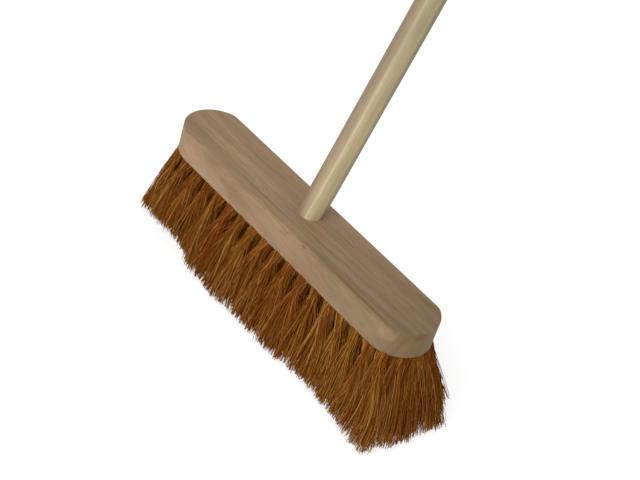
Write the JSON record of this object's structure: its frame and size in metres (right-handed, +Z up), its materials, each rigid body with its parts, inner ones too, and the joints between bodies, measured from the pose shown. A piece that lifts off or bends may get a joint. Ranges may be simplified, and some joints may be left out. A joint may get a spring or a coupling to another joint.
{
  "type": "push broom",
  "caption": "Straight wooden broom block with round ends, flaring coir tufts set in rows, and a long round wooden handle that leans back and pulls out of its socket.",
  "frame": {"origin": "in the plane of the bristle tips, straight under the middle of the block, on the floor that the broom sweeps", "axes": "+X along the head, +Y across it towards the side that the handle leans to, +Z up from the tips to the handle"},
  "size_m": [0.3424, 0.4048, 1.2212],
  "materials": {
    "block_wood": "bare planed beech",
    "handle_wood": "bare turned softwood",
    "coir": "brown coconut fibre",
    "staple_wire": "drawn wire"
  },
  "bodies": {
    "head": {"back_tuft_01": "coir", "back_tuft_02": "coir", "back_tuft_03": "coir", "back_tuft_04": "coir", "back_tuft_05": "coir", "back_tuft_06": "coir", "back_tuft_07": "coir", "back_tuft_08": "coir", "back_tuft_09": "coir", "back_tuft_10": "coir", "back_tuft_11": "coir", "back_tuft_12": "coir", "back_tuft_13": "coir", "back_tuft_14": "coir", "back_tuft_15": "coir", "back_tuft_16": "coir", "front_tuft_01": "coir", "front_tuft_02": "coir", "front_tuft_03": "coir", "front_tuft_04": "coir", "front_tuft_05": "coir", "front_tuft_06": "coir", "front_tuft_07": "coir", "front_tuft_08": "coir", "front_tuft_09": "coir", "front_tuft_10": "coir", "front_tuft_11": "coir", "front_tuft_12": "coir", "front_tuft_13": "coir", "front_tuft_14": "coir", "front_tuft_15": "coir", "front_tuft_16": "coir", "head_block": "block_wood", "inner_tufts_01": "coir", "inner_tufts_02": "coir", "inner_tufts_03": "coir", "inner_tufts_04": "coir", "inner_tufts_05": "coir", "inner_tufts_06": "coir", "inner_tufts_07": "coir", "inner_tufts_08": "coir", "inner_tufts_09": "coir", "inner_tufts_10": "coir", "inner_tufts_11": "coir", "inner_tufts_12": "coir", "inner_tufts_13": "coir", "inner_tufts_14": "coir", "inner_tufts_15": "coir", "inner_tufts_16": "coir", "left_tuft_1": "coir", "left_tuft_2": "coir", "left_tuft_3": "coir", "left_tuft_4": "coir", "right_tuft_1": "coir", "right_tuft_2": "coir", "right_tuft_3": "coir", "right_tuft_4": "coir", "tuft_staples": "staple_wire"},
    "handle": {"handle": "handle_wood"}
  },
  "joints": [
    {"name": "handle_pull", "type": "slide", "parent": "head", "child": "handle", "axis": [0, 0.289, 0.9573], "range_m": [0, 0.05]}
  ]
}
